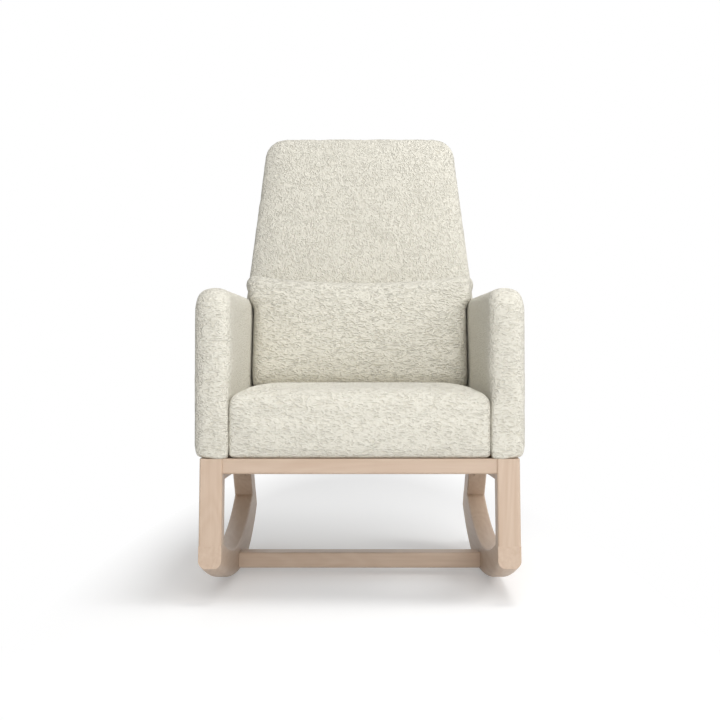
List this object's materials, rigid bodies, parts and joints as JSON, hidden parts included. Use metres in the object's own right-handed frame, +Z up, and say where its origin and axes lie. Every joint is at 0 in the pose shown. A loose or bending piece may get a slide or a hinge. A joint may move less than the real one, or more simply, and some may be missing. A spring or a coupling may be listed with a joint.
{
  "type": "upholstered rocking chair",
  "caption": "High-backed upholstered rocking chair with padded arms, tight seat, loose lumbar pillow and a pale wooden base on curved runners.",
  "frame": {"origin": "on the floor, under the middle of the whole chair's box", "axes": "+Z up, the chair faces -Y, X across it"},
  "size_m": [0.67, 0.7594, 1.0852],
  "materials": {
    "maple": "clear satin lacquer on pale maple",
    "frame_wood": "planed pine and beech, unfinished",
    "plywood": "sanded birch plywood",
    "dowel_beech": "fluted beech",
    "cover_fabric": "ivory looped fabric",
    "foam": "cut upholstery foam",
    "fibre_fill": "fibre filling in a plain case",
    "deck_felt": "needled felt",
    "dust_cloth": "black spun cloth",
    "webbing": "woven elastic webbing",
    "backing_board": "plain backing board",
    "zinc_steel": "zinc plated"
  },
  "bodies": {
    "chair": {"back_bottom_rail": "frame_wood", "back_cover": "cover_fabric", "back_foam": "foam", "back_top_rail": "frame_wood", "back_webbing": "webbing", "barrel_nuts": "zinc_steel", "base_bolts": "zinc_steel", "corner_block_screws": "zinc_steel", "corner_blocks": "frame_wood", "dust_cover": "dust_cloth", "frame_dowels": "dowel_beech", "front_rail": "maple", "left_arm_cleat": "frame_wood", "left_arm_cover": "cover_fabric", "left_arm_foam": "foam", "left_arm_panel": "plywood", "left_back_post": "frame_wood", "left_front_leg": "maple", "left_rear_leg": "maple", "left_runner": "maple", "left_seat_frame_side": "frame_wood", "left_side_rail": "maple", "outside_back_panel": "backing_board", "rear_rail": "maple", "right_arm_cleat": "frame_wood", "right_arm_cover": "cover_fabric", "right_arm_foam": "foam", "right_arm_panel": "plywood", "right_back_post": "frame_wood", "right_front_leg": "maple", "right_rear_leg": "maple", "right_runner": "maple", "right_seat_frame_side": "frame_wood", "right_side_rail": "maple", "runner_stretcher": "maple", "seat_cover": "cover_fabric", "seat_deck": "deck_felt", "seat_foam": "foam", "seat_frame_front": "frame_wood", "seat_frame_rear": "frame_wood", "seat_frame_screws": "zinc_steel", "seat_springs": "zinc_steel", "spring_clips": "zinc_steel", "stretcher_bolts": "zinc_steel", "threaded_inserts": "zinc_steel"},
    "lumbar_pillow": {"lumbar_pillow_cover": "cover_fabric", "lumbar_pillow_insert": "fibre_fill"}
  },
  "joints": [
    {"name": "pillow_lift", "type": "slide", "parent": "chair", "child": "lumbar_pillow", "axis": [0, 0.2588, 0.9659], "range_m": [0, 0.3]}
  ]
}
